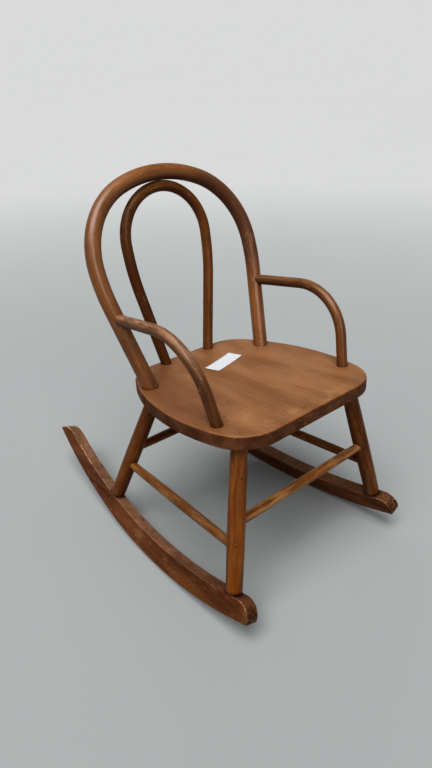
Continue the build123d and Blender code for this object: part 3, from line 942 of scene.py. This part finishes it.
class CHAIR_OT_hoops(ChairOperator):
    """Bends the outer and inner hoops of the back and finishes them"""

    bl_idname = "chair.hoops"
    bl_label = "Hoops"

    def execute(self, context):
        chair = self.settings(context)
        sizes, wood = chair.hoops, chair.wood
        outer = outer_shape(sizes).rod(sizes.outer_diameter, sizes.let_in, "outer_hoop_bent_rod")
        bent_piece(outer, "outer_hoop", rod_finish(
            "outer hoop finish",
            wood,
            move=(0.1, 0.2, 0.0),
            rubbed_share=0.3,
            paleness=0.84,
            gloss=0.5,
            deeper=(0.18, 0.33),
            paler=(0.5, 0.66),
        ))
        inner = inner_shape(sizes).rod(sizes.inner_diameter, sizes.let_in, "inner_hoop_bent_rod")
        bent_piece(inner, "inner_hoop", rod_finish(
            "inner hoop finish",
            wood,
            move=(0.5, 0.1, 2.0),
            rubbed_share=0.18,
            paleness=0.66,
            gloss=0.22,
            deeper=(0.5, 0.62),
        ))
        return {"FINISHED"}


class CHAIR_OT_arms(ChairOperator):
    """Bends both arms, copes them onto the outer hoop and finishes them"""

    bl_idname = "chair.arms"
    bl_label = "Arms"

    def execute(self, context):
        chair = self.settings(context)
        rubbed_shares = {"left": 0.4, "right": 0.85}
        for word, side in SIDES.items():
            arm = bend_arm(chair, side, f"{word}_arm_bent_rod")
            bent_piece(arm, f"{word}_arm", rod_finish(
                f"{word} arm finish",
                chair.wood,
                move=(0.2, 0.4 * side, 3.0 + side),
                rubbed_share=rubbed_shares[word],
                paleness=0.62,
                gloss=0.38,
                rubbed_from=0.1,
            ))
        return {"FINISHED"}


class CHAIR_OT_seat(ChairOperator):
    """Finishes the seat's plank"""

    bl_idname = "chair.seat"
    bl_label = "Seat"

    def execute(self, context):
        dress(NODES["seat"], seat_finish(self.settings(context)))
        return {"FINISHED"}


class CHAIR_OT_legs(ChairOperator):
    """Finishes the four turned legs"""

    bl_idname = "chair.legs"
    bl_label = "Legs"

    def execute(self, context):
        wood = self.settings(context).wood
        grain_moves = {"front": 3.5, "rear": 2.8}
        for end, line in LEGS.items():
            for word, side in SIDES.items():
                finish = turned_finish(
                    f"{word} {end} leg finish",
                    wood,
                    on_side(side, *line),
                    move=(0.3 * side, grain_moves[end], 0.5),
                    paleness=1.0 if (word, end) == ("right", "front") else 0.8,
                )
                dress(NODES[f"{word}_{end}_leg"], finish)
        return {"FINISHED"}


class CHAIR_OT_stretchers(ChairOperator):
    """Finishes the four stretchers"""

    bl_idname = "chair.stretchers"
    bl_label = "Stretchers"

    def execute(self, context):
        wood = self.settings(context).wood
        lines = {**CROSS_RAILS}
        for word, side in SIDES.items():
            lines[f"{word} side"] = on_side(side, *SIDE_RAIL)
        paleness = {"front": 1.15, "rear": 0.7}
        rubbed_share = {"front": 0.8}
        dulled = {"front": 0.35, "right side": 0.4}
        for count, (place, line) in enumerate(lines.items()):
            finish = turned_finish(
                f"{place} stretcher finish",
                wood,
                line,
                move=(1.3 * count, 0.4, 0.9 * count),
                paleness=paleness.get(place, 0.9),
                rubbed_share=rubbed_share.get(place, 0.35),
                knobbly=1.6,
                dark_foot=False,
                dulled=dulled.get(place, 0.0),
            )
            dress(NODES[f"{place.replace(' ', '_')}_stretcher"], finish)
        return {"FINISHED"}


class CHAIR_OT_rockers(ChairOperator):
    """Finishes the two sawn rockers"""

    bl_idname = "chair.rockers"
    bl_label = "Rockers"

    def execute(self, context):
        wood = self.settings(context).wood
        for word, side in SIDES.items():
            move = (0.6 * side, 0.1, 0.4 * side)
            dress(NODES[f"{word}_rocker"], rocker_finish(f"{word} rocker finish", wood, side, move))
        return {"FINISHED"}


class CHAIR_OT_screws(ChairOperator):
    """Finishes the wood screws"""

    bl_idname = "chair.screws"
    bl_label = "Screws"

    def execute(self, context):
        finish = steel_finish(self.settings(context).other)
        for name, node in NODES.items():
            if "screw" in name:
                dress(node, finish)
        return {"FINISHED"}


class CHAIR_OT_paper_tag(ChairOperator):
    """Lays a blank paper tag on the seat"""

    bl_idname = "chair.paper_tag"
    bl_label = "Paper Tag"

    def execute(self, context):
        other = self.settings(context).other
        if not other.show_tag:
            return {"FINISHED"}
        lies_clear, ends_curl, sides_curl = 0.0002, 0.0008, 0.0003
        bm = bmesh.new()
        bmesh.ops.create_grid(bm, x_segments=24, y_segments=8, size=0.5)
        bmesh.ops.scale(bm, verts=bm.verts, vec=(TAG_LENGTH, TAG_WIDTH, 1))
        for vert in bm.verts:
            to_end, to_side = 2 * vert.co.x / TAG_LENGTH, 2 * vert.co.y / TAG_WIDTH
            vert.co.z = lies_clear + to_end**4 * ends_curl + to_side**2 * sides_curl
        bmesh.ops.solidify(bm, geom=bm.faces, thickness=TAG_THICKNESS)
        lie = Matrix((ACROSS, SEAT_BACK, SEAT_UP)).transposed().to_4x4()
        lie.translation = on_seat(TAG_ACROSS, TAG_BACK)
        turned = lie @ Matrix.Rotation(TAG_TURN, 4, "Z")
        bmesh.ops.transform(bm, matrix=turned, verts=bm.verts)
        bmesh.ops.recalc_face_normals(bm, faces=bm.faces)
        for face in bm.faces:
            face.smooth = True
        tag = piece_of(bm, "blank_paper_tag")
        dress(tag, paper_finish(other))
        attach(tag, "root")
        return {"FINISHED"}


def soft_surroundings(other):
    """A world that lights the chair from all round and shows one plain backdrop."""
    world = bpy.data.worlds.new("soft surroundings")
    world.use_nodes = True
    w = Wiring(world.node_tree)
    way = w.coordinates("Generated")
    behind = w.ease(w.vector("DOT_PRODUCT", way, (0.66, 0.75, 0.0)), 0.2, 0.85)
    low = w.stain(opaque(other.sky), other.screen, behind)
    sky = w.stain(low, other.dome, w.ease(w.part(way, "Z"), 0.1, 0.6))
    seen = w.add("ShaderNodeLightPath").outputs["Is Camera Ray"]
    background = world.node_tree.nodes["Background"]
    w.feed(background.inputs["Color"], w.stain(sky, other.backdrop, seen))
    return world


class CHAIR_OT_stage(ChairOperator):
    """Sets up the pale floor, the soft lights and the camera"""

    bl_idname = "chair.stage"
    bl_label = "Stage"

    def execute(self, context):
        other = self.settings(context).other
        scene = context.scene
        bm = bmesh.new()
        bmesh.ops.create_grid(bm, x_segments=2, y_segments=2, size=FLOOR_HALF_SIDE)
        floor = piece_of(bm, "studio_floor")
        dress(floor, floor_finish(other))

        scene.world = soft_surroundings(other)
        for name, (way, strength, spread, glossy) in LIGHTS.items():
            light = bpy.data.lights.new(name, "SUN")
            light.energy, light.angle = strength, spread
            holder = bpy.data.objects.new(name, light)
            holder.rotation_euler = Vector(way).to_track_quat("-Z", "Y").to_euler()
            holder.visible_glossy = glossy
            scene.collection.objects.link(holder)

        lens = bpy.data.cameras.new("camera")
        lens.sensor_width, lens.lens = SENSOR_WIDTH, FOCAL_LENGTH
        camera = bpy.data.objects.new("camera", lens)
        up = CAMERA_RIGHT.cross(CAMERA_FORWARD)
        stand = Matrix((CAMERA_RIGHT, up, -CAMERA_FORWARD)).transposed().to_4x4()
        stand.translation = CAMERA_STAND
        camera.matrix_world = stand
        scene.collection.objects.link(camera)
        scene.camera = camera
        scene.view_settings.view_transform = "Standard"
        scene.view_settings.look = "High Contrast"
        return {"FINISHED"}


OPERATORS = (
    CHAIR_OT_stage,
    CHAIR_OT_seat,
    CHAIR_OT_hoops,
    CHAIR_OT_arms,
    CHAIR_OT_legs,
    CHAIR_OT_stretchers,
    CHAIR_OT_rockers,
    CHAIR_OT_screws,
    CHAIR_OT_paper_tag,
)


class CHAIR_PT_panel(bpy.types.Panel):
    """Lists the chair's sizes, colours and operators"""

    bl_label = "Rocking Chair"
    bl_idname = "CHAIR_PT_panel"
    bl_space_type = "VIEW_3D"
    bl_region_type = "UI"
    bl_category = "Rocking Chair"

    def draw(self, context):
        chair = context.scene.rocking_chair
        for title, group in (
            ("Hoops", chair.hoops),
            ("Arms", chair.arms),
            ("Wood", chair.wood),
            ("Other finishes", chair.other),
        ):
            box = self.layout.box()
            box.label(text=title)
            for name in group.__annotations__:
                box.prop(group, name)
        for operator in OPERATORS:
            self.layout.operator(operator.bl_idname)


SETTINGS = (HoopSizes, ArmSizes, WoodColours, OtherColours, ChairSettings)
CLASSES = (*SETTINGS, *OPERATORS, CHAIR_PT_panel)


def register():
    for cls in CLASSES:
        bpy.utils.register_class(cls)
    bpy.types.Scene.rocking_chair = PointerProperty(type=ChairSettings)


def unregister():
    del bpy.types.Scene.rocking_chair
    for cls in reversed(CLASSES):
        bpy.utils.unregister_class(cls)


def main():
    register()
    bpy.ops.chair.stage()
    bpy.ops.chair.seat()
    bpy.ops.chair.hoops()
    bpy.ops.chair.arms()
    bpy.ops.chair.legs()
    bpy.ops.chair.stretchers()
    bpy.ops.chair.rockers()
    bpy.ops.chair.screws()
    bpy.ops.chair.paper_tag()


if __name__ == "__main__":
    main()
